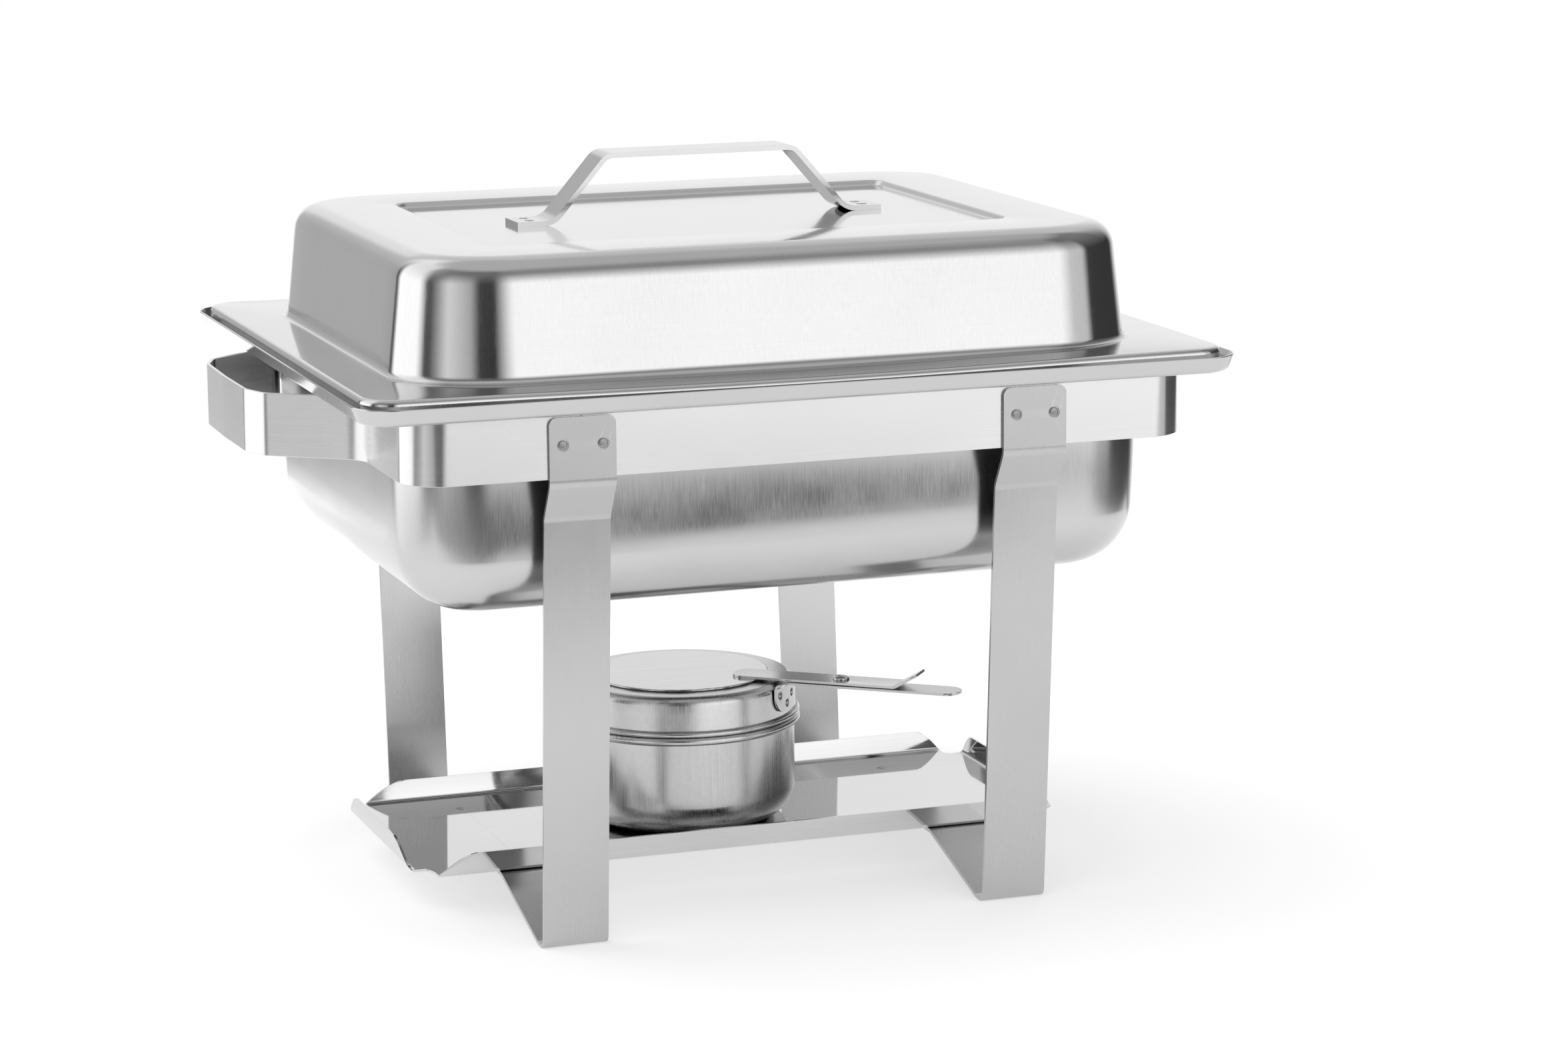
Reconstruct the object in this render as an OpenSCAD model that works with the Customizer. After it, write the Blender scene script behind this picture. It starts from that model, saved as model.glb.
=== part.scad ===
// Chafing dish for one half-size gastronorm pan, with stand, spirit burner, water pan, food pan and lid.
// +Z is up, +X runs along the long side, the front is at -Y.
// The origin is on the table, under the middle of the dish.

/* [Sheet and strip] */
// Thickness of the pressed shells
sheet_t = 0.8; // [0.6:0.1:1]
// Thickness of the strip that the stand is bent from
strip_t = 1.5; // [1.2:0.1:2]
// Width of the leg strips
leg_w = 26; // [22:0.5:30]

/* [Stand] */
// Outside length of the band that carries the water pan
band_l = 314; // [311:1:318]
// Outside width of the band
band_w = 275; // [270:1:278]
// Height of the band strip
band_h = 24.4; // [20:0.1:26]
// Height of the band's top edge above the table
band_top = 210.8; // [200:0.1:220]
// Outside radius of the band's corners
band_r = 16.5; // [12:0.5:22]
// How far the carrying loops stand out from the band's ends
grip_out = 38; // [32:0.5:42]
// Half the length of a carrying loop's outer bar, to its corner
grip_half = 47; // [40:1:60]
// Distance from the middle of the dish to a leg strip's centre line
leg_x = 90.7; // [80:0.1:100]
// How far the legs step in below the band
leg_step = 8.6; // [6:0.1:10]
// Distance from the middle of the dish to the fold where a leg meets the table
foot_y = 117.5; // [110:0.5:125]

/* [Tray] */
// Length of the burner tray's floor
tray_l = 273.6; // [250:0.1:290]
// Width of the burner tray's floor
tray_w = 118.5; // [108:0.5:130]
// Height of the tray's underside above the table
tray_z = 15.7; // [12:0.1:18]
// Height of the tray's turned-up edges
tray_wall = 9.5; // [8:0.5:12]
// Thickness of the tray sheet
tray_t = 1; // [0.8:0.1:1.5]

/* [Water pan] */
// Length over the water pan's rim
rim_l = 353; // [350:1:360]
// Width over the water pan's rim
rim_w = 295; // [292:1:300]
// Depth of the upturned rim
rim_h = 6.6; // [5:0.1:9]
// Outside radius of the rim's corners, seen from above
rim_r = 15; // [12:0.5:22]
// Length of the water pan's body
well_l = 303.6; // [303:0.1:305]
// Width of the water pan's body
well_w = 244; // [243.5:0.5:248]
// Depth of the water pan below its ledge
well_deep = 81.5; // [75:0.5:90]

/* [Food pan] */
// Length over the food pan's flange
gn_l = 325; // [320:1:328]
// Width over the food pan's flange
gn_w = 265; // [262:1:268]
// Depth of the food pan
gn_deep = 65; // [40:1:65]

/* [Lid] */
// Length over the lid's flange
lid_l = 345.4; // [340:0.1:347]
// Width over the lid's flange
lid_w = 280; // [276:0.5:284]
// Length of the dome at its foot
dome_l = 299.6; // [290:0.1:306]
// Width of the dome at its foot
dome_w = 238; // [230:1:246]
// Height of the lid's flange above the table
lid_z = 220.2; // [219:0.1:222]
// Height of the dome's top above its flange
dome_h = 46.4; // [40:0.1:52]
// How much the dome's walls lean in, in degrees
dome_lean = 6.3; // [3:0.1:9]
// Length of the sunk panel in the dome's top
panel_l = 215; // [190:1:225]
// Width of the sunk panel
panel_w = 148; // [130:1:155]
// Depth of the sunk panel
panel_deep = 2.2; // [1:0.1:3]

/* [Lid handle] */
// Length of the handle over its feet
lug_l = 154; // [140:1:160]
// Length of the handle's flat top
lug_top_l = 79; // [70:1:90]
// Height of the handle above the panel
lug_h = 28; // [24:0.5:34]
// Width of the handle strip
lug_w = 18; // [15:0.5:24]
// Thickness of the handle strip
lug_t = 2; // [1.5:0.1:2.5]

/* [Burner] */
// Place of the burner's axis along X
burner_x = -9; // [-20:1:20]
// Outside radius of the cup
cup_r = 46.9; // [42:0.1:48]
// Height of the cup
cup_h = 42.6; // [36:0.1:48]
// Height of the cover above the cup's rim
cover_h = 16.1; // [12:0.1:18]
// Radius of the flame hole in the cover
flame_r = 29; // [22:1:32]
// Radius of the snuffer disc
disc_r = 36.3; // [34:0.1:40]
// Width of the burner's handle and lever strips
arm_w = 13.6; // [12:0.1:18]
// Thickness of the burner's handle and lever strips
arm_t = 1; // [0.8:0.1:1.5]
// Direction of the burner's handle, in degrees from +X towards the front
arm_turn = 38.7; // [30:0.1:50]
// Distance from the burner's axis to the pivot rivet
pivot_out = 70; // [66:0.5:78]
// Distance from the burner's axis to the end of the handle
arm_out = 121; // [110:1:128]

/* [Hidden] */
gap = 0.3;              // clearance between parts that rest on each other
ring_steps = 9;         // facets in each corner of a pressed shell
arc_step = 10;          // degrees between the points of a bend
big = 400;              // longer than any part of the dish

// Heights
ledge_z = band_top + gap;
rim_top = ledge_z + rim_h;
well_z = ledge_z + sheet_t - well_deep;
gn_z = ledge_z + sheet_t + gap;
lid_edge_z = ledge_z + sheet_t + gap;
dome_top = lid_z + dome_h;
panel_z = dome_top - panel_deep;
tray_floor = tray_z + tray_t;

// Radii of the pressed shells
well_r = 34;            // corners of the water pan's body
well_round = 25;        // round between its wall and its bottom
well_draft = 1.2;       // how far the wall leans in from ledge to bottom
well_turn = 2.5;        // round between its wall and its ledge
gn_round = 14;          // round between the food pan's wall and its bottom
gn_draft = 5;           // how far the food pan's wall leans in
gn_turn = 2;            // round between the food pan's wall and its flange
gn_r = 12;              // corners of the food pan's flange
gn_side = 2;            // room between the food pan and the water pan's wall
dome_r = 35;            // corners of the dome
dome_round = 11;        // round between the dome's wall and its top
dome_foot = 3;          // round between the dome's wall and the flange
lid_edge_r = 13;        // corners of the lid's flange
edge_round = 2.2;       // round between the flange and its turned-down edge
panel_r = 7;            // corners of the sunk panel
panel_step = 1.8;       // width of the slope around the panel
rim_flare = 1.6;        // how far the rim leans out at its top
rim_round = 2.6;        // round at the bottom of the rim

// Burner
cup_z = tray_floor + gap;
cup_top = cup_z + cup_h;
bead_r = 1.7;           // rolled rim of the cup
cover_z = cup_top + 0.1;
cover_top = cover_z + cover_h;
cover_r = 47.2;
cover_t = 0.8;
disc_t = 0.9;
disc_z = cover_top + 0.1;
lever_z = disc_z + disc_t;
washer_t = 0.5;
arm_z = lever_z - washer_t - arm_t;
tab_drop = 12.2;        // how far the handle's tab reaches down the cover's side
tab_r = cover_r + 0.05;
lever_in = 24;          // inner end of the lever, from the burner's axis
lever_bend = 94.6;      // where the lever's thumb tab starts
thumb_l = 10.6;         // length of the thumb tab
thumb_rise = 30;        // how steeply it rises, in degrees
rivet_r = 2;
rivet_head_r = 3.4;
rivet_tail_r = 3.2;
rivet_head_h = 1.7;

steel = [0.78, 0.78, 0.79];
steel_dark = [0.66, 0.67, 0.69];
steel_light = [0.86, 0.86, 0.87];
mark = [0.55, 0.55, 0.57];

// ---------------------------------------------------------------- shared shapes

function reversed(list) = [for (i = [len(list) - 1:-1:0]) list[i]];

// One rounded rectangle at height z: outline is [half length, half width, corner radius], grown by out
function ring(outline, out, z) =
    let (r = max(outline[2] + out, 0.6), cx = outline[0] + out - r, cy = outline[1] + out - r)
    [for (corner = [0:3], k = [0:ring_steps])
        let (
            a = 90 * corner + 90 * k / ring_steps,
            sx = (corner == 0 || corner == 3) ? 1 : -1,
            sy = corner < 2 ? 1 : -1
        )
        [sx * cx + r * cos(a), sy * cy + r * sin(a), z]];

// Closed solid through a stack of rings, from an underside cap round to an upper cap
module skin(rings) {
    n = len(rings[0]);
    m = len(rings);
    sides = [for (i = [0:m - 2], j = [0:n - 1])
        let (k = (j + 1) % n)
        each [
            [i * n + j, (i + 1) * n + j, (i + 1) * n + k],
            [i * n + j, (i + 1) * n + k, i * n + k]
        ]];
    first = [for (j = [0:n - 1]) j];
    last = [for (j = [n - 1:-1:0]) (m - 1) * n + j];
    polyhedron(points = [for (r = rings) each r], faces = concat([first, last], sides), convexity = 10);
}

function unit(v) = v / norm(v);
function turn(a, b) = a[0] * b[1] - a[1] * b[0];

// Points of the bend at corner b between the straights from a and to c, with radius r on the centre line,
// moved sideways by side
function bend(a, b, c, r, side) =
    let (
        u = unit(b - a),
        v = unit(c - b),
        s = turn(u, v) >= 0 ? 1 : -1,
        angle = acos(min(1, u * v)),
        back = r * tan(angle / 2),
        start = b - u * back,
        middle = start + s * r * [-u[1], u[0]],
        from = atan2(start[1] - middle[1], start[0] - middle[0]),
        steps = max(1, ceil(angle / arc_step)),
        reach = r - s * side
    )
    [for (i = [0:steps]) let (at = from + s * angle * i / steps) middle + reach * [cos(at), sin(at)]];

// One side of a strip whose centre line runs through points, rounded by radii, moved sideways by side
function strip_side(points, radii, side) =
    let (
        n = len(points),
        u = unit(points[1] - points[0]),
        v = unit(points[n - 1] - points[n - 2])
    )
    concat(
        [points[0] + side * [-u[1], u[0]]],
        [for (i = [1:n - 2]) each bend(points[i - 1], points[i], points[i + 1], radii[i], side)],
        [points[n - 1] + side * [-v[1], v[0]]]
    );

// Outline of a bent strip of thickness t along its centre line
module strip_outline(points, radii, t) {
    polygon(concat(strip_side(points, radii, t / 2), reversed(strip_side(points, radii, -t / 2))));
}

// Flat shape with rounded corners, from corner a to corner b
module rounded(a, b, r) {
    translate(a + [r, 0]) square([b[0] - a[0] - 2 * r, b[1] - a[1]]);
    translate(a + [0, r]) square([b[0] - a[0], b[1] - a[1] - 2 * r]);
    for (x = [a[0] + r, b[0] - r], y = [a[1] + r, b[1] - r]) translate([x, y]) circle(r, $fn = 32);
}

weld_deep = 0.35;       // depth of a spot weld's dimple
weld_h = 0.5;           // height of the mark that stands in it

// Ground mark that a spot weld leaves, a shallow disc that stands in its own dimple
module weld(r = 1.6) {
    translate([0, 0, -weld_deep]) rotate_extrude($fn = 24)
        polygon([[0, 0], [r, 0], [r, weld_h / 2], [r * 0.6, weld_h], [0, weld_h]]);
}

module weld_pocket(r = 1.6) {
    translate([0, 0, -weld_deep]) cylinder(r = r + 0.5, h = weld_deep + 1, $fn = 24);
}

// ---------------------------------------------------------------- lid

function dome_wall_out(z) = -tan(dome_lean) * (z - lid_z);

// Rings of the lid's sheet from the panel's middle to its edge, moved in by s
function lid_rings(s) =
    let (
        dome = [dome_l / 2, dome_w / 2, dome_r],
        edge = [lid_l / 2, lid_w / 2, lid_edge_r],
        panel = [panel_l / 2, panel_w / 2, panel_r],
        c = cos(dome_lean),
        n = sin(dome_lean),
        top_c = dome_top - dome_round,
        top_out = dome_wall_out(top_c + dome_round * n) - dome_round * c,
        top_r = dome_round - s,
        foot_out = dome_foot * c + dome_wall_out(lid_z + dome_foot * (1 - n)),
        foot_r = dome_foot + s,
        edge_r = edge_round - s
    )
    concat(
        [ring(panel, -panel_step - 1, panel_z - s)],
        [ring(panel, -panel_step, panel_z + 0.2 - s)],
        [ring(panel, -panel_step * 0.25, dome_top - 0.35 - s)],
        [ring(panel, 0.5, dome_top - s)],
        [for (a = [90:-12:dome_lean + 3]) ring(dome, top_out + top_r * cos(a), top_c + top_r * sin(a))],
        [ring(dome, top_out + top_r * c, top_c + top_r * n)],
        [for (b = [dome_lean, 30, 50, 70, 90])
            ring(dome, foot_out - foot_r * cos(b), lid_z + dome_foot - foot_r * sin(b))],
        [for (a = [0:22.5:90])
            ring(edge, edge_r * sin(a) - edge_round, lid_z - edge_round + edge_r * cos(a))],
        [ring(edge, -s, lid_edge_z)]
    );

module lid_shell() {
    color(steel_light) skin(concat(lid_rings(sheet_t), reversed(lid_rings(0))));
}

lug_foot_in = 62;       // where the handle's arms rise from its feet
lug_bends = [0, 9, 6, 6, 9, 0];
lug_spot = [6.5, 4];    // spot welds in from a foot's end and beside its middle

module lid_handle() {
    half = lug_t / 2;
    path = [
        [-lug_l / 2, half], [-lug_foot_in, half], [-lug_top_l / 2, lug_h - half],
        [lug_top_l / 2, lug_h - half], [lug_foot_in, half], [lug_l / 2, half]
    ];
    color(steel) difference() {
        translate([0, lug_w / 2, panel_z]) rotate([90, 0, 0]) linear_extrude(lug_w)
            strip_outline(path, lug_bends, lug_t);
        lid_handle_spots() weld_pocket();
    }
}

module lid_handle_spots() {
    for (x = [-1, 1], y = [-1, 1])
        translate([x * (lug_l / 2 - lug_spot[0]), y * lug_spot[1], panel_z + lug_t]) children();
}

module lid_handle_welds() {
    color(mark) lid_handle_spots() weld();
}

// ---------------------------------------------------------------- pans

// Rings of a pan's sheet from the middle of its bottom to its ledge, moved in by s.
// round_r is the round of its bottom, draft how far its wall leans in and turn_r the round below its ledge.
function well_rings(outline, z_bottom, z_ledge, round_r, draft, turn_r, s) =
    let (in_r = round_r - s, out_r = turn_r + s)
    concat(
        [for (a = [0:15:90])
            ring(outline, in_r * sin(a) - draft - round_r, z_bottom + round_r - in_r * cos(a))],
        [for (b = [0:30:90]) ring(outline, turn_r - out_r * cos(b), z_ledge - turn_r + out_r * sin(b))]
    );

function water_rings(s) =
    let (
        rim = [rim_l / 2 - rim_flare, rim_w / 2 - rim_flare, rim_r],
        r = rim_round - s
    )
    concat(
        well_rings([well_l / 2, well_w / 2, well_r], well_z, ledge_z, well_round, well_draft, well_turn, s),
        [for (a = [0:18:72]) ring(rim, r * sin(a) - rim_round, ledge_z + rim_round - r * cos(a))],
        [ring(rim, rim_flare - s, rim_top - 0.3), ring(rim, rim_flare - s * 0.75 - 0.1, rim_top)]
    );

module water_pan() {
    color(steel_dark) skin(concat(water_rings(0), reversed(water_rings(sheet_t))));
}

function food_rings(s) =
    let (
        flange = [gn_l / 2, gn_w / 2, gn_r],
        inset = sheet_t + gn_side,
        hole = [well_l / 2 - inset, well_w / 2 - inset, well_r - 3]
    )
    concat(
        well_rings(hole, gn_z - gn_deep + sheet_t, gn_z, gn_round, gn_draft, gn_turn, s),
        [ring(flange, 0, gn_z + s)]
    );

module food_pan() {
    color(steel_light) skin(concat(food_rings(0), reversed(food_rings(sheet_t))));
}

// ---------------------------------------------------------------- stand

grip_slope = 24;        // how far along the band's end a loop's slanted arm reaches
grip_cut = [4.5, 12];   // slanted corner of a loop, inwards and along its bar
grip_bulge = 0.6;       // how far a loop's bar bows out

// Centre line of half the band, from the front seam over the right end to the back seam.
// The band is two such strips, the second turned half round.
band_path = let (
        x = band_l / 2 - strip_t / 2,
        y = band_w / 2 - strip_t / 2,
        loop = x + grip_out,
        slope = grip_half + grip_slope,
        cut_in = loop - grip_cut[0],
        cut_y = grip_half - 1,
        bar_y = cut_y - grip_cut[1]
    )
    [
        [-leg_x, -y], [x, -y], [x, -slope], [cut_in, -cut_y], [loop, -bar_y], [loop + grip_bulge, 0],
        [loop, bar_y], [cut_in, cut_y], [x, slope], [x, y], [leg_x, y]
    ];
band_bends = let (r = band_r - strip_t / 2) [0, r, 16, 7, 14, 120, 14, 7, 16, r, 0];

module band_strip() {
    translate([0, 0, band_top - band_h]) linear_extrude(band_h) strip_outline(band_path, band_bends, strip_t);
}

module frame_band_front() {
    color(steel) band_strip();
}

module frame_band_back() {
    color(steel) rotate([0, 0, 180]) band_strip();
}

// Centre line of one leg strip seen along X: plate, step, leg, fold and foot, then the same mirrored
half_t = strip_t / 2;
plate_y = band_w / 2 + half_t;
plate_top = band_top - 1;
foot_flat = 7;          // flat of the foot between its fold and the rise to the tray
step_from = 2.1;        // where the step starts, below the band
step_to = 16.2;         // where the step ends, below the band
leg_front = [
    [-plate_y, plate_top],
    [-plate_y, band_top - band_h - step_from],
    [-plate_y + leg_step, band_top - band_h - step_to],
    [-foot_y, half_t],
    [-foot_y + foot_flat, half_t],
    [-tray_w / 2 - 1, tray_z - half_t]
];
leg_path = concat(leg_front, [for (p = reversed(leg_front)) [-p[0], p[1]]]);
leg_bends = let (front = [0, 7, 7, 3.2, 7, 10]) concat(front, reversed(front));
plate_r = 3;            // round corners at the top of a leg plate
plate_spot_x = 7.8;     // spot welds beside a leg's centre line
plate_spot_drop = 11.5; // spot welds below the band's top edge
plate_spot_r = 1.9;

module leg_spots() {
    for (side = [-1, 1], x = [-1, 1])
        translate([x * plate_spot_x, side * (plate_y + half_t), band_top - plate_spot_drop])
            rotate([-90 * side, 0, 0]) children();
}

module leg_strip() {
    difference() {
        intersection() {
            translate([-leg_w / 2, 0, 0]) rotate([90, 0, 90]) linear_extrude(leg_w)
                strip_outline(leg_path, leg_bends, strip_t);
            translate([0, big / 2, 0]) rotate([90, 0, 0]) linear_extrude(big)
                rounded([-leg_w / 2, -plate_r], [leg_w / 2, plate_top], plate_r);
        }
        leg_spots() weld_pocket(plate_spot_r);
    }
}

module leg_strip_left() {
    color(steel) translate([-leg_x, 0, 0]) leg_strip();
}

module leg_strip_right() {
    color(steel) translate([leg_x, 0, 0]) leg_strip();
}

module leg_plate_welds() {
    color(mark) for (x = [-leg_x, leg_x]) translate([x, 0, 0]) leg_spots() weld(plate_spot_r);
}

// ---------------------------------------------------------------- tray

edge_mid = tray_t / 2;  // centre line of the tray sheet
edge_flat = 7;          // how far an edge's strip reaches into the floor
edge_bend = 2;          // bend radius of an edge
edge_step = 0.1;        // part of an edge's sloped end between two of its points

// How far up a sloped end has come at t, from 0 at its tip to 1: as an S or as a quarter wave
function edge_rise(t, s_shaped) = s_shaped ? (1 - cos(180 * t)) / 2 : sin(90 * t);

// Outline of a turned-up edge: straight on top, sloping down over end0 and end1 at its two ends
function edge_outline(from, to, end0, end1, s0, s1) = concat(
    [[from, -1], [to, -1]],
    [for (t = [0:edge_step:1]) [to - end1 * t, tray_t + (tray_wall - tray_t) * edge_rise(t, s1)]],
    [for (t = [1:-edge_step:0]) [from + end0 * t, tray_t + (tray_wall - tray_t) * edge_rise(t, s0)]]
);

// One turned-up edge of the tray along X, with the tray's floor on its -Y side, leaning out by lean degrees
module tray_edge(from, to, lean, end0, end1, s0 = false, s1 = false) {
    middle = [[-edge_flat, edge_mid], [0, edge_mid], [tray_wall * tan(lean), tray_wall]];
    intersection() {
        translate([from, 0, 0]) rotate([90, 0, 90]) linear_extrude(to - from)
            strip_outline(middle, [0, edge_bend, 0], tray_t);
        translate([0, 20, 0]) rotate([90, 0, 0]) linear_extrude(40)
            polygon(edge_outline(from, to, end0, end1, s0, s1));
    }
}

// Corners of the floor, as the cut along X and the cut along Y
cut_small = [8, 8];
cut_deep = [8, 12];
side_lean = 10;         // how far the long edges lean out, in degrees
end_lean = 4;           // how far the short edges lean out
tray_inset = 6;         // where the flat floor meets the edges' strips

module tray() {
    x = tray_l / 2;
    y = tray_w / 2;
    inset = tray_inset;
    color(steel_light) difference() {
        translate([0, 0, tray_z]) {
            linear_extrude(tray_t) polygon([
                [-x + cut_deep[0], -y + inset], [x - cut_deep[0], -y + inset],
                [x - inset, -y + cut_deep[1]], [x - inset, y - cut_small[1]],
                [x - cut_small[0], y - inset], [-x + cut_small[0], y - inset],
                [-x + inset, y - cut_small[1]], [-x + inset, -y + cut_deep[1]]
            ]);
            translate([0, y, 0]) tray_edge(-x + cut_small[0], x - cut_small[0], side_lean, 19, 11);
            rotate([0, 0, 180]) translate([0, y, 0])
                tray_edge(-x + cut_deep[0], x - cut_deep[0], side_lean, 11, 17);
            rotate([0, 0, 90]) translate([0, x, 0])
                tray_edge(-y + cut_deep[1], y - cut_small[1], end_lean, 25, 14, true, false);
            rotate([0, 0, 270]) translate([0, x, 0])
                tray_edge(-y + cut_small[1], y - cut_deep[1], end_lean, 9, 25, false, true);
        }
        tray_spots() weld_pocket();
    }
}

tray_spot = [3, 21.5];  // spot welds outside a leg's centre line and in from the long edge

module tray_spots() {
    for (x = [-1, 1], y = [-1, 1])
        translate([x * (leg_x + tray_spot[0]), y * (tray_w / 2 - tray_spot[1]), tray_floor]) children();
}

module tray_welds() {
    color(mark) tray_spots() weld();
}

// ---------------------------------------------------------------- burner

module at_burner() {
    translate([burner_x, 0, 0]) children();
}

// Everything on the burner's arm is drawn along +X and then turned to its direction
module along_arm() {
    at_burner() rotate([0, 0, -arm_turn]) children();
}

cup_round = 13;         // round between the cup's side and its bottom
bead_out = 0.7;         // middle of the cup's rolled rim, outside its side

module burner_cup() {
    mid_r = cup_r - cup_round;
    mid_z = cup_z + cup_round;
    in_round = cup_round - sheet_t;
    arc = [for (a = [0:9:90]) [mid_r + cup_round * sin(a), mid_z - cup_round * cos(a)]];
    inner = [for (a = [90:-9:0]) [mid_r + in_round * sin(a), mid_z - in_round * cos(a)]];
    bead_z = cup_top - bead_r;
    rim = [[cup_r, bead_z], [cup_r - sheet_t, bead_z]];
    color(steel) at_burner() rotate_extrude($fn = 96) {
        polygon(concat([[0, cup_z]], arc, rim, inner, [[0, cup_z + sheet_t]]));
        translate([cup_r + bead_out, bead_z]) circle(bead_r, $fn = 32);
    }
}

can_r = 42;             // over the can's seam
can_h = 36;
can_t = 0.5;            // thickness of the tin
can_side = 41.4;        // radius of the can's side
can_mouth = 26;         // radius of the hole in the can's top
can_foot = [31, 33.5];  // foot ring, from its inner to its outer radius
can_foot_h = 6;         // height at which the slope from the foot meets the side
can_sunk = 2;           // how far the top lies below the seam
can_hollow = 1.5;       // how far the bottom lies above the foot

module fuel_can() {
    z = cup_z + sheet_t + 0.1;
    top = z + can_h;
    deck = top - can_sunk;
    base = z + can_hollow;
    outside = [
        [0, base], [can_foot[0] - 1, base], [can_foot[0], z], [can_foot[1], z], [can_side, z + can_foot_h],
        [can_side, deck - 0.5], [can_r, deck], [can_r, top], [can_r - 2, top], [can_side - 2, deck]
    ];
    mouth = [
        [can_mouth + 1.4, deck], [can_mouth + 0.8, deck + 1], [can_mouth, deck + 1], [can_mouth, deck - can_t]
    ];
    inside = [
        [can_side - can_t, deck - can_t], [can_side - can_t, z + can_foot_h + 0.2],
        [can_foot[1] - 0.2, z + can_t], [can_foot[0] + 0.2, z + can_t],
        [can_foot[0] - 0.8, base + can_t], [0, base + can_t]
    ];
    color(steel_dark) at_burner() rotate_extrude($fn = 96) polygon(concat(outside, mouth, inside));
}

cover_round = 3.4;      // round between the cover's side and its top
cover_lean = 0.6;       // how far the cover's side leans in towards its top
skirt_h = 6;            // how far the cover's skirt reaches into the cup
lip_r = 1.15;           // rolled lip of the cover

module burner_cover() {
    round_r = cover_r - cover_lean - cover_round;
    round_z = cover_top - cover_round;
    in_round = cover_round - cover_t;
    outer = [for (a = [0:15:90]) [round_r + cover_round * cos(a), round_z + cover_round * sin(a)]];
    inner = [for (a = [90:-15:0]) [round_r + in_round * cos(a), round_z + in_round * sin(a)]];
    skirt_out = cup_r - sheet_t - 0.3;
    color(steel) at_burner() rotate_extrude($fn = 96) {
        polygon(concat(
            [[skirt_out - cover_t, cover_z - skirt_h], [skirt_out, cover_z - skirt_h], [skirt_out, cover_z],
                [cover_r, cover_z + cover_t]],
            outer,
            [[flame_r, cover_top], [flame_r, cover_top - cover_t]],
            inner,
            [[cover_r - cover_t, cover_z + 1.2], [skirt_out - cover_t, cover_z + 0.6]]
        ));
        translate([cover_r + 0.8, cover_z + lip_r]) circle(lip_r, $fn = 32);
    }
}

// Rounded bar from x0 to x1 along the arm, with round ends of radius r0 and r1
module bar_outline(x0, x1, r0, r1) {
    half = arm_w / 2;
    translate([x0 + r0, -half]) square([x1 - x0 - r0 - r1, arm_w]);
    translate([x0, -half + r0]) square([r0 + 1, arm_w - 2 * r0]);
    translate([x1 - r1 - 1, -half + r1]) square([r1 + 1, max(arm_w - 2 * r1, 0.01)]);
    for (y = [-1, 1]) {
        translate([x0 + r0, y * (half - r0)]) circle(r0, $fn = 32);
        translate([x1 - r1, y * (half - r1)]) circle(r1, $fn = 64);
    }
}

tab_mid = -4;           // middle of the welded tab, beside the arm's centre line
tab_w = 17;
handle_spot_r = 1.2;

// Fixed handle: a strip whose wider inner end is bent down, rolled to the cover's side and welded to it
module burner_handle() {
    top = arm_z + arm_t;
    mid = arm_t / 2;
    path = [[tab_r + mid, top - tab_drop], [tab_r + mid, top - mid], [arm_out + 1, top - mid]];
    color(steel) along_arm() difference() {
        intersection() {
            rotate_extrude($fn = 192) strip_outline(path, [0, 1.5, 0], arm_t);
            union() {
                linear_extrude(big) bar_outline(tab_r - 6, arm_out, 1, arm_w / 2 - 0.1);
                translate([tab_r - 12, tab_mid, 0]) rotate([90, 0, 90]) linear_extrude(12 + 1.6)
                    rounded([-tab_w / 2, top - tab_drop], [tab_w / 2, top + 10], 6);
            }
        }
        translate([pivot_out, 0, top - 5]) cylinder(r = rivet_r + 0.05, h = 10, $fn = 48);
        handle_spots() weld_pocket(handle_spot_r);
    }
}

module handle_spots() {
    for (p = [[-10, 5], [1, 5.6], [-4, 9]])
        rotate([0, 0, asin(p[0] / (tab_r + arm_t))]) translate([tab_r + arm_t, 0, arm_z + arm_t - p[1]])
            rotate([0, 90, 0]) children();
}

module burner_handle_welds() {
    color(mark) along_arm() handle_spots() weld(handle_spot_r);
}

module snuffer_disc() {
    color(steel_light) at_burner() translate([0, 0, disc_z]) rotate_extrude($fn = 96) polygon([
        [0, 0], [disc_r - 0.3, 0], [disc_r, 0.3], [disc_r, disc_t - 0.2], [disc_r - 0.4, disc_t], [0, disc_t]
    ]);
}

// Lever that swings the disc, with a thumb tab bent up at its outer end
module snuffer_lever() {
    mid = lever_z + arm_t / 2;
    tip = [lever_bend + thumb_l * cos(thumb_rise), mid + thumb_l * sin(thumb_rise)];
    color(steel) along_arm() difference() {
        intersection() {
            translate([0, arm_w / 2, 0]) rotate([90, 0, 0]) linear_extrude(arm_w)
                strip_outline([[lever_in, mid], [lever_bend, mid], tip], [0, 3, 0], arm_t);
            linear_extrude(big) bar_outline(lever_in, tip[0] + 1, 5.5, 4);
        }
        translate([pivot_out, 0, lever_z - 5]) cylinder(r = rivet_r + 0.05, h = 10, $fn = 48);
    }
}

module pivot_washer() {
    color(steel_dark) along_arm() translate([pivot_out, 0, arm_z + arm_t]) difference() {
        cylinder(r = 4.2, h = washer_t - 0.05, $fn = 48);
        translate([0, 0, -1]) cylinder(r = rivet_r + 0.05, h = 4, $fn = 48);
    }
}

module pivot_rivet() {
    low = arm_z - 1;
    head = lever_z + arm_t + 0.05;
    tail = [[0, low], [rivet_tail_r - 0.2, low], [rivet_tail_r, low + 0.6], [rivet_tail_r, low + 1]];
    shank = [[rivet_r, low + 1], [rivet_r, head], [rivet_head_r, head]];
    dome = [for (a = [0:15:90]) [rivet_head_r * cos(a), head + 0.4 + (rivet_head_h - 0.4) * sin(a)]];
    color(steel) along_arm() translate([pivot_out, 0, 0]) rotate_extrude($fn = 48)
        polygon(concat(tail, shank, dome));
}

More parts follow.
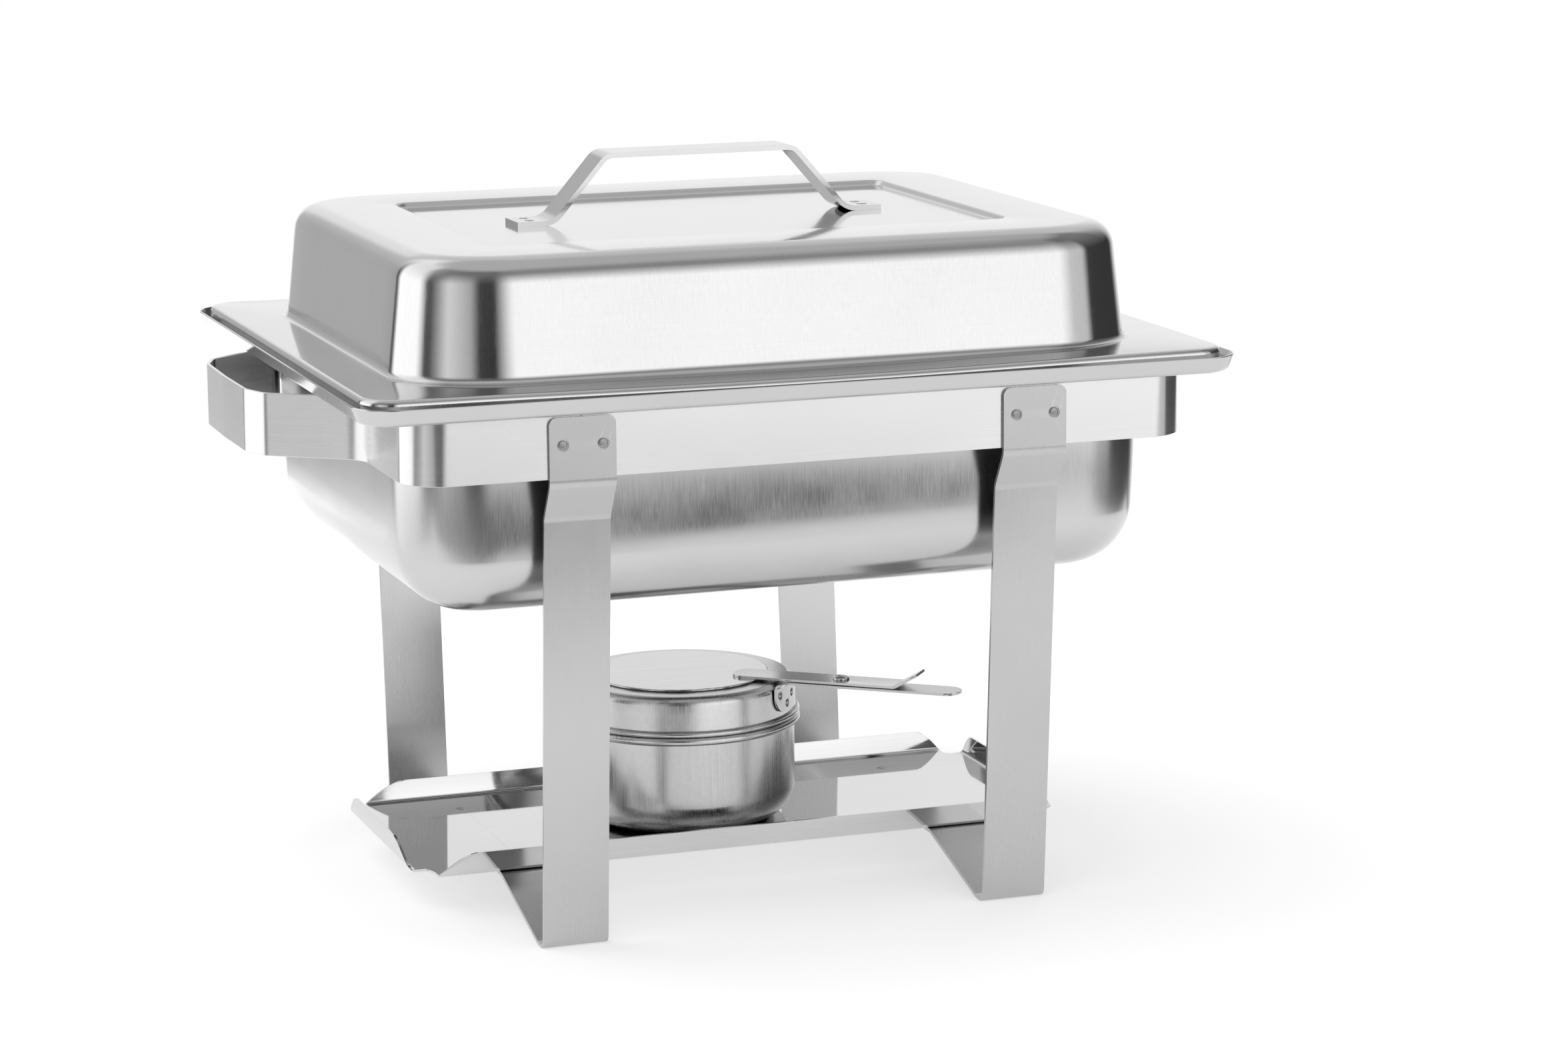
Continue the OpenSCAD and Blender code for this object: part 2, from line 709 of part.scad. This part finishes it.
lid_shell();
lid_handle();
lid_handle_welds();
food_pan();
water_pan();
frame_band_front();
frame_band_back();
leg_strip_left();
leg_strip_right();
leg_plate_welds();
tray();
tray_welds();
burner_cup();
fuel_can();
burner_cover();
burner_handle();
burner_handle_welds();
snuffer_disc();
snuffer_lever();
pivot_washer();
pivot_rivet();
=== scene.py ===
"""Looks of the chafing dish food warmer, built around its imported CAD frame. Metres, +Z up, front at -Y."""

import math

import bpy
from mathutils import Matrix, Vector


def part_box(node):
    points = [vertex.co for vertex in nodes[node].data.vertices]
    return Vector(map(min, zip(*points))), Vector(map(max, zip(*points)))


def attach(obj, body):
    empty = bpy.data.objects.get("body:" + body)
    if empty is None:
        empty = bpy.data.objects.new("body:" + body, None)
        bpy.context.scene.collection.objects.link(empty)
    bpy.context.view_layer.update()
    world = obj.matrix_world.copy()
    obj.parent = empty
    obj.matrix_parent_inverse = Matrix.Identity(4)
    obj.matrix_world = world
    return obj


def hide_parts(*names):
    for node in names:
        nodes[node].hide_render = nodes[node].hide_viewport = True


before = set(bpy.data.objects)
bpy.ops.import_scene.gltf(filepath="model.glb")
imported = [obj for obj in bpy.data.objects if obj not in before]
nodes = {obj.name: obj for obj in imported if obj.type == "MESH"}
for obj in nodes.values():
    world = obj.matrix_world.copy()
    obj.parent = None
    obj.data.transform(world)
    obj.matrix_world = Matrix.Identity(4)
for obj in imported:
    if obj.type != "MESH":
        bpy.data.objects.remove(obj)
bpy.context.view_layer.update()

MM = 0.001

# ------------------------------------------------------------------ sizes, in millimetres


def size_mm(node):
    """Lowest and highest corner of a CAD node, in millimetres."""
    low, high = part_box(node)
    return low / MM, high / MM


LID_LOW, LID_HIGH = size_mm("lid_shell")
WATER_LOW, WATER_HIGH = size_mm("water_pan")
FOOD_LOW, FOOD_HIGH = size_mm("food_pan")

SHEET = 0.8             # thickness of the pressed shells
RIM_DEEP = 6.6          # depth of the water pan's upturned rim
LEDGE_Z = WATER_HIGH.z - RIM_DEEP
DOME_H = 46.4           # height of the dome above the lid's flange
LID_TOP = LID_HIGH.z
FLANGE_Z = LID_TOP - DOME_H
DOME_LEAN = 6.3         # how far the dome's walls lean in, in degrees
BOW = 1.3               # how far the long edges sag between the corners
CORNER_STRETCH = 8      # how much longer the dome's corners are along X than along Y

HEADING = -19.418       # which way the camera and the paper are turned, in degrees

LEAST_RADIUS = 0.6      # corners of a ring are never sharper than this
SAG_SHAPE = 1.5         # above 1, the sag gathers in the middle of a long side
SHARP = 35              # edges sharper than this many degrees stay sharp

CORNER_STEPS = 14
SIDE_STEPS = 10
WALL_STEPS = 8


# ------------------------------------------------------------------ pressed shells


def ring(outline, out, z, sag=0.0, stretch=0.0):
    """Points of a rounded rectangle at height z, all the way round.

    outline is (half length, half width, corner radius), and it grows by out. sag lowers the long sides
    between their corners, and stretch makes the corners that much longer along X.
    """
    radius = max(outline[2] + out, LEAST_RADIUS)
    cx = outline[0] + out - radius - stretch
    cy = outline[1] + out - radius
    sides = ((-2 * cx, 0), (0, -2 * cy), (2 * cx, 0), (0, 2 * cy))
    points = []
    for corner, (dx, dy) in enumerate(sides):
        sx = 1 if corner in (0, 3) else -1
        sy = 1 if corner < 2 else -1
        for k in range(CORNER_STEPS + 1):
            a = math.radians(90 * (corner + k / CORNER_STEPS))
            x = sx * cx + (radius + stretch) * math.cos(a)
            y = sy * cy + radius * math.sin(a)
            points.append(Vector((x, y, z)))
        start = points[-1]
        end = start + Vector((dx, dy, 0))
        long_side = corner % 2 == 0
        for k in range(1, SIDE_STEPS):
            t = k / SIDE_STEPS
            p = start.lerp(end, t)
            if long_side:
                p.z -= sag * math.sin(math.pi * t) ** SAG_SHAPE
            points.append(p)
    return points


def arc(start, end, steps):
    """Angles in radians from start to end, given in degrees, both ends included."""
    return [math.radians(start + (end - start) * i / steps) for i in range(steps + 1)]


def new_piece(name, vertices, faces, body, material):
    """Mesh piece in millimetres that rides on a body, smooth except at its sharp edges."""
    mesh = bpy.data.meshes.new(name)
    mesh.from_pydata([tuple(v * MM for v in p) for p in vertices], [], faces)
    mesh.validate()
    piece = bpy.data.objects.new(name, mesh)
    bpy.context.scene.collection.objects.link(piece)
    mesh.shade_smooth()
    mesh.set_sharp_from_angle(angle=math.radians(SHARP))
    mesh.materials.append(material)
    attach(piece, body)
    return piece


def skin(rings):
    """Closed surface through a stack of rings, capped at its first and last one."""
    n = len(rings[0])
    vertices = [p for r in rings for p in r]
    faces = []
    for i in range(len(rings) - 1):
        for j in range(n):
            k = (j + 1) % n
            faces.append((i * n + j, (i + 1) * n + j, (i + 1) * n + k, i * n + k))
    first = len(vertices)
    vertices.append(sum(rings[0], Vector()) / n)
    vertices.append(sum(rings[-1], Vector()) / n)
    last = (len(rings) - 1) * n
    for j in range(n):
        k = (j + 1) % n
        faces.append((first, j, k))
        faces.append((first + 1, last + k, last + j))
    return vertices, faces


def lid_rings(s):
    """The lid's sheet from the panel's middle to its edge, moved in by s."""
    dome = (149.8, 119, 37.5)
    edge = (LID_HIGH.x, LID_HIGH.y, 13)
    panel = (107.5, 74, 7)
    dome_round, foot, edge_round = 11, 3, 2.2
    sag_from, foot_sag = 40, 0.5    # where on its round the dome's foot starts to sag, and its share
    lean = math.radians(DOME_LEAN)

    def wall_out(z):
        return -math.tan(lean) * (z - FLANGE_Z)

    top_c = LID_TOP - dome_round
    top_out = wall_out(top_c + dome_round * math.sin(lean)) - dome_round * math.cos(lean)
    foot_out = foot * math.cos(lean) + wall_out(FLANGE_Z + foot * (1 - math.sin(lean)))

    # from the sunk panel up its slope: how far out of the panel's outline, and how far below the lid's top
    slope = (
        (-6, 2.2), (-2.8, 2.2), (-2.2, 2.15), (-1.7, 1.9), (-1.0, 1.1), (-0.4, 0.25), (0.1, 0.05), (0.6, 0),
    )
    rings = [ring(panel, out, LID_TOP - depth - s) for out, depth in slope]
    for a in arc(90, DOME_LEAN, 14):
        out = top_out + (dome_round - s) * math.cos(a)
        rings.append(ring(dome, out, top_c + (dome_round - s) * math.sin(a), 0, CORNER_STRETCH))
    for b in arc(DOME_LEAN, 90, 8):
        out = foot_out - (foot + s) * math.cos(b)
        z = FLANGE_Z + foot - (foot + s) * math.sin(b)
        sag = BOW * foot_sag * max(0, math.degrees(b) - sag_from) / (90 - sag_from)
        rings.append(ring(dome, out, z, sag, CORNER_STRETCH))
    for a in arc(0, 90, 6):
        out = -edge_round + (edge_round - s) * math.sin(a)
        rings.append(ring(edge, out, FLANGE_Z - edge_round + (edge_round - s) * math.cos(a), BOW))
    rings.append(ring(edge, -s, LID_LOW.z, 0))
    return rings


def well_rings(outline, bottom, ledge, round_r, draft, curve, turn_r, s):
    """A pan's sheet from the middle of its bottom to its ledge, moved in by s.

    The wall comes in by draft at its lower end, bending more towards it the greater curve is.
    """
    flat_rim = 4        # width of the flat strip that keeps the bottom's shading level
    low, top = bottom + round_r, ledge - turn_r
    lean = math.degrees(math.atan(curve * draft / (top - low)))
    rings = [ring(outline, -draft - round_r - flat_rim, bottom + s)]
    for a in arc(0, 90 - lean, 12):
        out = -draft - round_r + (round_r - s) * math.sin(a)
        rings.append(ring(outline, out, low - (round_r - s) * math.cos(a)))
    for k in range(1, WALL_STEPS):
        t = 1 - k / WALL_STEPS
        rings.append(ring(outline, -draft * t ** curve - s, low + (top - low) * (1 - t)))
    for b in arc(0, 90, 6):
        rings.append(ring(outline, turn_r - (turn_r + s) * math.cos(b), top + (turn_r + s) * math.sin(b)))
    return rings


def water_rings(s):
    """The water pan's sheet, moved in by s: its well, its ledge and its upturned rim."""
    flare, rim_round = 1.6, 2.6
    rim_turn = 72       # how far the rim turns up, in degrees
    lip = 0.3           # height of the rounding on the rim's edge
    well = (151.8, 122, 34)
    rim = (WATER_HIGH.x - flare, WATER_HIGH.y - flare, 15)
    rings = well_rings(well, WATER_LOW.z, LEDGE_Z, round_r=25, draft=1.3, curve=3, turn_r=2.5, s=s)
    for a in arc(0, rim_turn, 8):
        out = -rim_round + (rim_round - s) * math.sin(a)
        rings.append(ring(rim, out, LEDGE_Z + rim_round - (rim_round - s) * math.cos(a)))
    rings.append(ring(rim, flare - s, WATER_HIGH.z - lip))
    rings.append(ring(rim, flare - s * 0.75 - 0.1, WATER_HIGH.z))
    return rings


def food_rings(s):
    """The food pan's sheet, moved in by s: its well and its flat flange."""
    well = (149, 119.2, 31)
    flange = (FOOD_HIGH.x, FOOD_HIGH.y, 12)
    ledge = FOOD_HIGH.z - SHEET
    rings = well_rings(well, FOOD_LOW.z, ledge, round_r=14, draft=5, curve=1, turn_r=2, s=s)
    rings.append(ring(flange, -0.3, ledge + s))
    rings.append(ring(flange, 0, ledge + s * 0.7 + 0.12))
    return rings


# ------------------------------------------------------------------ materials


def link(tree, source, target):
    tree.links.new(source, target)


def add(tree, kind, **values):
    """New shader node with its properties set."""
    n = tree.nodes.new("ShaderNode" + kind)
    for key, value in values.items():
        setattr(n, key, value)
    return n


def streaks(tree, coordinate, scale, detail=3.0, rough=0.6):
    """Noise stretched along the short entries of scale, such as (4, 900, 900) for grain along X."""
    stretch = add(tree, "Mapping")
    stretch.inputs["Scale"].default_value = scale
    link(tree, coordinate, stretch.inputs["Vector"])
    noise = add(tree, "TexNoise")
    noise.inputs["Scale"].default_value = 1.0
    noise.inputs["Detail"].default_value = detail
    noise.inputs["Roughness"].default_value = rough
    link(tree, stretch.outputs["Vector"], noise.inputs["Vector"])
    return noise.outputs["Fac"]


def ranged(tree, value, low, high, from_low=0.3, from_high=0.7):
    """value mapped to the range from low to high."""
    n = add(tree, "MapRange")
    n.inputs["From Min"].default_value = from_low
    n.inputs["From Max"].default_value = from_high
    n.inputs["To Min"].default_value = low
    n.inputs["To Max"].default_value = high
    link(tree, value, n.inputs["Value"])
    return n.outputs["Result"]


def calc(tree, operation, a, b):
    n = add(tree, "Math", operation=operation)
    for socket, value in zip(n.inputs, (a, b)):
        if isinstance(value, (int, float)):
            socket.default_value = value
        else:
            link(tree, value, socket)
    return n.outputs["Value"]


FAINT = 0.4             # strength of the second grain in the tone, against the main one
COARSER = 0.37          # scale of the second grain against the main one, where a steel doesn't say it
CLOUD_SCALE = (14, 14, 14)
CLOUDING = 0.02         # how much smudges change the tone
EDGE_POLISH = 0.4       # how much of the roughness is worn off at edges
EDGE_WEAR = 0.08        # how much lighter edges are worn
LEAST_ROUGH = 0.03
BLUE_CAST = 1.006


def steel(name, tone, rough, grain, grain_depth, rough_spread=0.06, tone_spread=0.05, cross=None,
          smudge=0.05, spread=0.0):
    """Stainless steel with grain, smudges and lighter, smoother edges.

    tone is its grey, grain the noise scale of its main grain, cross that of a fainter second one,
    and grain_depth the height of the grain in metres. spread above 0 draws highlights out up and down.
    """
    material = bpy.data.materials.new(name)
    material.use_nodes = True
    tree = material.node_tree
    shader = tree.nodes["Principled BSDF"]
    shader.inputs["Metallic"].default_value = 1.0
    if spread:
        shader.inputs["Anisotropic"].default_value = spread
        upright = add(tree, "Tangent", direction_type="RADIAL", axis="Z")
        link(tree, upright.outputs["Tangent"], shader.inputs["Tangent"])
        shader.inputs["Anisotropic Rotation"].default_value = 0.25
    place = add(tree, "TexCoord").outputs["Object"]
    main = streaks(tree, place, grain)
    second = streaks(tree, place, cross or [v * COARSER for v in grain], detail=2.0)
    cloud = streaks(tree, place, CLOUD_SCALE, detail=4.0, rough=0.55)
    edge = ranged(tree, add(tree, "NewGeometry").outputs["Pointiness"], 0.0, 1.0, 0.52, 0.60)

    faint = tone_spread * FAINT
    shade = ranged(tree, main, -tone_spread, tone_spread)
    shade = calc(tree, "ADD", shade, ranged(tree, second, -faint, faint))
    shade = calc(tree, "ADD", shade, ranged(tree, cloud, tone - CLOUDING, tone + CLOUDING))
    shade = calc(tree, "ADD", shade, calc(tree, "MULTIPLY", edge, EDGE_WEAR))
    grey = add(tree, "CombineColor")
    for channel, warmth in (("Red", 1.0), ("Green", 1.0), ("Blue", BLUE_CAST)):
        link(tree, calc(tree, "MULTIPLY", shade, warmth), grey.inputs[channel])
    link(tree, grey.outputs["Color"], shader.inputs["Base Color"])

    gloss = ranged(tree, main, rough - rough_spread, rough + rough_spread)
    gloss = calc(tree, "ADD", gloss, ranged(tree, cloud, -smudge, smudge))
    gloss = calc(tree, "SUBTRACT", gloss, calc(tree, "MULTIPLY", edge, rough * EDGE_POLISH))
    link(tree, calc(tree, "MAXIMUM", gloss, LEAST_ROUGH), shader.inputs["Roughness"])

    bump = add(tree, "Bump")
    bump.inputs["Strength"].default_value = 1.0
    bump.inputs["Distance"].default_value = grain_depth
    height = calc(tree, "ADD", main, calc(tree, "MULTIPLY", second, 0.5))
    link(tree, height, bump.inputs["Height"])
    link(tree, bump.outputs["Normal"], shader.inputs["Normal"])
    return material


lid_steel = steel("lid_steel", 0.61, 0.10, (2200, 2200, 30), 2e-6, 0.03, 0.02, cross=(30, 1800, 2400))
lid_handle_steel = steel("lid_handle_steel", 0.52, 0.14, (40, 2000, 900), 3e-6, 0.05, 0.03)
water_pan_steel = steel(
    "water_pan_steel", 0.57, 0.18, (3200, 3200, 60), 0.8e-6, 0.02, 0.008, cross=(60, 2500, 2800)
)
food_pan_steel = steel("food_pan_steel", 0.58, 0.24, (1700, 1700, 40), 0.9e-6, 0.03, 0.012)
band_steel = steel(
    "band_steel", 0.69, 0.27, (25, 25, 4200), 0.7e-6, 0.03, 0.012, cross=(240, 240, 1800), spread=0.8
)
leg_steel = steel("leg_steel", 0.50, 0.28, (4200, 40, 25), 1.2e-6, 0.02, 0.008, cross=(1500, 200, 130))
tray_steel = steel("tray_steel", 0.58, 0.07, (30, 2400, 2400), 1e-6, 0.03, 0.015, smudge=0.02)
burner_steel = steel("burner_steel", 0.56, 0.25, (2000, 2000, 30), 4e-6, 0.05, 0.04, cross=(500, 500, 600))
disc_steel = steel("disc_steel", 0.58, 0.16, (30, 1800, 1800), 3e-6)
strip_steel = steel("strip_steel", 0.50, 0.24, (1600, 1600, 1600), 1.5e-6, 0.04, 0.02)
tinplate = steel("tinplate", 0.50, 0.20, (1200, 1200, 40), 3e-6)
weld_steel = steel("weld_steel", 0.34, 0.35, (1500, 1500, 1500), 1e-5, 0.1, 0.05)


# ------------------------------------------------------------------ pieces


BEVEL = 0.00025         # in metres, as the next two are
OWN_BEVEL = {"burner_cover": 0.0001, "burner_cup": 0}   # their short edges fold over under a wider bevel
JOIN = 0.00001          # points closer than this are joined
FACE_WEIGHT = 90        # how strongly large faces keep their shading flat


def reshade(node, material, bevel=BEVEL):
    """Keeps a CAD node's shape, softens its edges and gives it its steel."""
    piece = nodes[node]
    piece.data.materials.clear()
    piece.data.materials.append(material)
    for p in piece.data.polygons:
        p.material_index = 0
    piece.data.shade_smooth()
    join = piece.modifiers.new("join", "WELD")
    join.merge_threshold = JOIN
    if bevel:
        edge = piece.modifiers.new("edge", "BEVEL")
        edge.width = bevel
        edge.segments = 2
        edge.limit_method = "ANGLE"
        edge.angle_limit = math.radians(SHARP)
        edge.harden_normals = False
    flat = piece.modifiers.new("flat", "WEIGHTED_NORMAL")
    flat.keep_sharp = True
    flat.weight = FACE_WEIGHT


def shell(name, make_rings, node, body, material, flip=False):
    """Smooth pressed shell that stands for a faceted CAD node. flip turns its faces the other way."""
    first, second = (0, SHEET) if flip else (SHEET, 0)
    vertices, faces = skin(make_rings(first) + make_rings(second)[::-1])
    piece = new_piece(name, vertices, faces, body, material)
    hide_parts(node)


shell("lid_dome", lid_rings, "lid_shell", "lid", lid_steel)
shell("water_basin", water_rings, "water_pan", "water_pan", water_pan_steel, flip=True)
shell("food_basin", food_rings, "food_pan", "food_pan", food_pan_steel, flip=True)

for node, material in (
    ("lid_handle", lid_handle_steel),
    ("frame_band_front", band_steel), ("frame_band_back", band_steel),
    ("leg_strip_left", leg_steel), ("leg_strip_right", leg_steel),
    ("tray", tray_steel), ("burner_cup", burner_steel), ("burner_cover", burner_steel),
    ("fuel_can", tinplate), ("burner_handle", strip_steel), ("snuffer_lever", strip_steel),
    ("snuffer_disc", disc_steel), ("pivot_washer", strip_steel), ("pivot_rivet", burner_steel),
):
    reshade(node, material, OWN_BEVEL.get(node, BEVEL))
for node in ("lid_handle_welds", "leg_plate_welds", "tray_welds", "burner_handle_welds"):
    reshade(node, weld_steel, bevel=0)


# ------------------------------------------------------------------ studio


# brightness of the panels round the dish, as (azimuth in degrees, brightness): below, at and above eye level
GROUND = [
    (-180, 0.70), (-160, 0.48), (-120, 0.34), (-77, 0.04), (-69, 0.04), (-64, 0.45), (-56, 0.45),
    (-34, 0.30), (-8, 0.15), (10, 0.10), (30, 0.16), (45, 0.60), (60, 1.35), (120, 1.35),
    (145, 1.15), (165, 1.00), (180, 0.65),
]
HORIZON = [
    (-180, 0.90), (-175, 0.12), (-168, 0.12), (-160, 0.40), (-147, 1.00), (-136, 0.82), (-124, 0.60),
    (-116, 0.08), (-102, 0.05), (-94, 0.80), (-86, 1.50), (-52, 1.50), (-40, 0.85), (-26, 0.80),
    (-19, 0.06), (30, 0.05), (44, 0.75), (58, 1.04), (90, 1.04), (96, 0.60), (110, 0.52),
    (114, 0.12), (119, 0.20), (128, 1.60), (173, 1.60), (180, 0.90),
]
MIDDLE = [
    (-180, 0.45), (-160, 0.28), (-100, 0.20), (-88, 0.32), (-45, 0.40), (-32, 0.22), (15, 0.30),
    (32, 0.80), (90, 0.78), (110, 1.25), (165, 1.10), (180, 0.45),
]
ZENITH = 0.62
# between which heights, as sines of the elevation, each row of panels gives way to the one above
HORIZON_FROM = (-0.222, -0.196)
MIDDLE_FROM = (0.16, 0.72)
TOP_FROM = (0.82, 0.93)
FULL = 2.0              # brightness that the ramps' white stands for
BACKDROP = 0.5          # what the camera sees behind the dish, times FULL


def studio_world():
    """Soft studio all round the dish: white panels with dark gaps between them, a bright panel overhead."""
    world = bpy.data.worlds.new("studio")
    bpy.context.scene.world = world
    world.use_nodes = True
    tree = world.node_tree
    backdrop = tree.nodes["Background"]
    axes = add(tree, "SeparateXYZ")
    link(tree, add(tree, "TexCoord").outputs["Generated"], axes.inputs["Vector"])
    turn = calc(tree, "ARCTAN2", axes.outputs["Y"], axes.outputs["X"])
    around = ranged(tree, turn, 0, 1, -math.pi, math.pi)
    up = axes.outputs["Z"]

    def panels(stops):
        """Brightness round the horizon, from (azimuth in degrees, brightness) pairs."""
        ramp = add(tree, "ValToRGB")
        elements = ramp.color_ramp.elements
        while len(elements) > 1:
            elements.remove(elements[-1])
        for i, (azimuth, light) in enumerate(stops):
            place = (azimuth + 180) / 360
            e = elements[0] if i == 0 else elements.new(place)
            e.position = place
            e.color = (light / FULL, light / FULL, light / FULL, 1)
        link(tree, around, ramp.inputs["Fac"])
        return ramp.outputs["Color"]

    def blend(low, high, sine_from, sine_to):
        """low below the first height, high above the second one, and a mix between them."""
        mix = add(tree, "Mix", data_type="RGBA")
        link(tree, ranged(tree, up, 0, 1, sine_from, sine_to), mix.inputs["Factor"])
        link(tree, low, mix.inputs["A"])
        link(tree, high, mix.inputs["B"])
        return mix.outputs["Result"]

    light = blend(panels(GROUND), panels(HORIZON), *HORIZON_FROM)
    light = blend(light, panels(MIDDLE), *MIDDLE_FROM)
    light = blend(light, panels([(-180, ZENITH), (180, ZENITH)]), *TOP_FROM)
    seen = add(tree, "Mix", data_type="RGBA")
    link(tree, add(tree, "LightPath").outputs["Is Camera Ray"], seen.inputs["Factor"])
    link(tree, light, seen.inputs["A"])
    seen.inputs["B"].default_value = (BACKDROP, BACKDROP, BACKDROP, 1)
    link(tree, seen.outputs["Result"], backdrop.inputs["Color"])
    backdrop.inputs["Strength"].default_value = FULL


studio_world()


def studio_floor():
    """Sheet of white paper on a light table, square to the camera. It glows a little by itself."""
    side, front, back = 0.62, -0.50, 0.45
    white, glow = 0.8, 0.45
    turn = Matrix.Rotation(math.radians(HEADING), 3, "Z")
    outline = ((-side, front), (side, front), (side, back), (-side, back))
    corners = [turn @ Vector((x, y, 0)) for x, y in outline]
    mesh = bpy.data.meshes.new("floor")
    mesh.from_pydata(corners, [], [(0, 1, 2, 3)])
    floor = bpy.data.objects.new("floor", mesh)
    bpy.context.scene.collection.objects.link(floor)
    material = bpy.data.materials.new("paper")
    material.use_nodes = True
    shader = material.node_tree.nodes["Principled BSDF"]
    shader.inputs["Base Color"].default_value = (white, white, white, 1)
    shader.inputs["Roughness"].default_value = 0.9
    shader.inputs["Specular IOR Level"].default_value = 0
    shader.inputs["Emission Color"].default_value = (1, 1, 1, 1)
    shader.inputs["Emission Strength"].default_value = glow
    mesh.materials.append(material)


studio_floor()


def ceiling_light():
    """Wide soft light above the table. It lights the paper and isn't itself reflected in the steel."""
    data = bpy.data.lights.new("ceiling", "AREA")
    data.shape = "DISK"
    data.size = 3.2
    data.energy = 20
    lamp = bpy.data.objects.new("ceiling", data)
    bpy.context.scene.collection.objects.link(lamp)
    lamp.location = (-0.5, -0.4, 2.4)
    lamp.rotation_euler = (-lamp.location).to_track_quat("-Z", "Y").to_euler()
    lamp.visible_glossy = False


ceiling_light()


def photo_camera():
    """Camera in front of the dish, a little to its left, looking slightly down."""
    place = Vector((-0.5440, -1.6482, 0.4756))
    looks_down, leans = 11.018, 0.5
    data = bpy.data.cameras.new("camera")
    data.lens = 99.03
    data.sensor_width = 36
    camera = bpy.data.objects.new("camera", data)
    bpy.context.scene.collection.objects.link(camera)
    spin = Matrix.Rotation(math.radians(HEADING), 4, "Z")
    tilt = Matrix.Rotation(math.radians(90 - looks_down), 4, "X")
    roll = Matrix.Rotation(math.radians(-leans), 4, "Z")
    camera.matrix_world = Matrix.Translation(place) @ spin @ tilt @ roll
    bpy.context.scene.camera = camera


photo_camera()
bpy.context.scene.view_settings.view_transform = "Standard"
